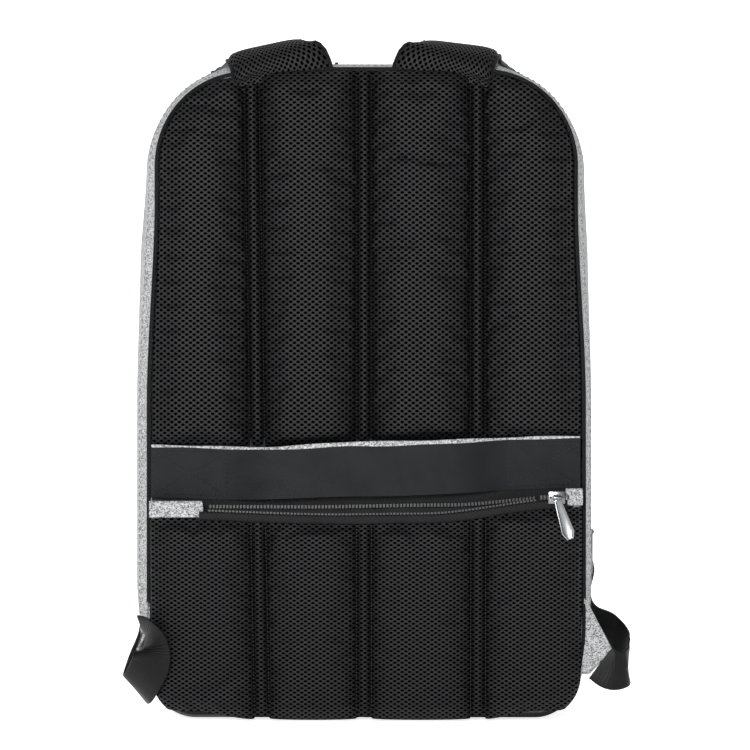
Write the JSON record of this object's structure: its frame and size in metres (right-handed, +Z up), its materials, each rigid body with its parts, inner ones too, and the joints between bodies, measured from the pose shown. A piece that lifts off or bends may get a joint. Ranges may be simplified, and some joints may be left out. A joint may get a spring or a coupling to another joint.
{
  "type": "solar backpack",
  "caption": "Backpack with padded mesh back, luggage band, zipped back pocket, folded-over shoulder straps and a hinged solar panel flap with a USB charge controller.",
  "frame": {"origin": "middle of the base, on the surface it stands on", "axes": "+X across the back, towards the right as seen from the wearer's side; -Y towards the wearer, +Y towards the solar flap; +Z up"},
  "size_m": [0.3658, 0.182, 0.4927],
  "materials": {
    "melange_fabric": "salt-and-pepper grey woven polyester",
    "air_mesh": "black spacer mesh with staggered holes",
    "black_twill": "smooth black twill",
    "lining": "plain dark lining cloth",
    "webbing": "ribbed black polyester webbing",
    "foam": "closed-cell foam",
    "stiffener": "plain extruded sheet",
    "zip_tape": "woven zip tape",
    "zip_coil": "moulded coil",
    "zip_metal": "satin nickel plate",
    "buckle_plastic": "black acetal with a fine texture",
    "laminate": "textured clear film over a black sheet",
    "cells": "dark blue cells under film",
    "ribbons": "tinned ribbon",
    "controller_plastic": "textured ABS",
    "circuit_board": "green solder mask",
    "socket_steel": "plated steel",
    "lens": "clear lens"
  },
  "bodies": {
    "bag": {"back_board": "stiffener", "rear_gusset": "melange_fabric", "front_gusset": "melange_fabric", "base_panel": "black_twill", "front_panel": "melange_fabric", "zip_end_panels": "melange_fabric", "main_zip_tape": "zip_tape", "main_zip_coil": "zip_coil", "laptop_sleeve": "lining", "laptop_strap": "webbing", "back_seam_piping": "black_twill", "upper_mesh_pad": "air_mesh", "upper_foam_strips": "foam", "sleeve_backing": "black_twill", "luggage_band": "black_twill", "luggage_band_trim": "melange_fabric", "pocket_pouch": "lining", "lower_mesh_pad": "air_mesh", "lower_foam_strips": "foam", "pocket_zip_upper_tape": "zip_tape", "pocket_zip_coil": "zip_coil", "pocket_rim_binding": "black_twill", "pocket_zip_end_tabs": "melange_fabric", "front_pocket": "melange_fabric", "hook_strip": "webbing", "flap_hinge_strip": "melange_fabric", "handle_anchor": "black_twill", "strap_anchors": "black_twill", "left_webbing": "webbing", "left_tab": "melange_fabric", "right_webbing": "webbing", "right_tab": "melange_fabric"},
    "solar_flap": {"flap_board": "melange_fabric", "flap_binding": "black_twill", "solar_laminate": "laminate", "solar_cells": "cells", "cell_ribbons": "ribbons", "loop_strip": "webbing", "controller_base": "controller_plastic", "controller_cover": "controller_plastic", "controller_board": "circuit_board", "usb_socket": "socket_steel", "status_lens": "lens", "controller_screws": "socket_steel"},
    "left_strap": {"left_strap_mesh": "air_mesh", "left_strap_foam": "foam", "left_strap_cover": "melange_fabric", "left_buckle": "buckle_plastic", "left_webbing_end": "webbing"},
    "right_strap": {"right_strap_mesh": "air_mesh", "right_strap_foam": "foam", "right_strap_cover": "melange_fabric", "right_buckle": "buckle_plastic", "right_webbing_end": "webbing"},
    "handle": {"carry_handle": "black_twill"},
    "pocket_zip_slider": {"pocket_slider": "zip_metal"},
    "pocket_zip_pull": {"pocket_pull": "zip_metal"},
    "main_zip_slider": {"main_slider": "zip_metal"},
    "main_zip_pull": {"main_pull": "zip_metal"}
  },
  "joints": [
    {"name": "solar_flap_lift", "type": "hinge", "parent": "bag", "child": "solar_flap", "pos_m": [0, 0.0883, 0.376], "axis": [1, 0, 0], "range_deg": [0, 110]},
    {"name": "left_strap_lift", "type": "hinge", "parent": "bag", "child": "left_strap", "pos_m": [-0.0575, -0.057, 0.473], "axis": [1, 0, 0], "range_deg": [0, 15]},
    {"name": "right_strap_lift", "type": "hinge", "parent": "bag", "child": "right_strap", "pos_m": [0.0575, -0.057, 0.473], "axis": [1, 0, 0], "range_deg": [0, 15]},
    {"name": "carry_handle_lift", "type": "hinge", "parent": "bag", "child": "handle", "pos_m": [0, 0.007, 0.4748], "axis": [1, 0, 0], "range_deg": [0, 90]},
    {"name": "pocket_slider_travel", "type": "slide", "parent": "bag", "child": "pocket_zip_slider", "axis": [-1, 0, 0], "range_m": [0, 0.245]},
    {"name": "pocket_pull_swing", "type": "hinge", "parent": "pocket_zip_slider", "child": "pocket_zip_pull", "pos_m": [0.136, -0.0884, 0.161], "axis": [-1, 0, 0], "range_deg": [0, 150]},
    {"name": "main_slider_travel", "type": "slide", "parent": "bag", "child": "main_zip_slider", "axis": [0, 0, 1], "range_m": [0, 0.25]},
    {"name": "main_pull_swing", "type": "hinge", "parent": "main_zip_slider", "child": "main_zip_pull", "pos_m": [0.1673, 0.02, 0.132], "axis": [0, -1, 0], "range_deg": [0, 150]}
  ]
}
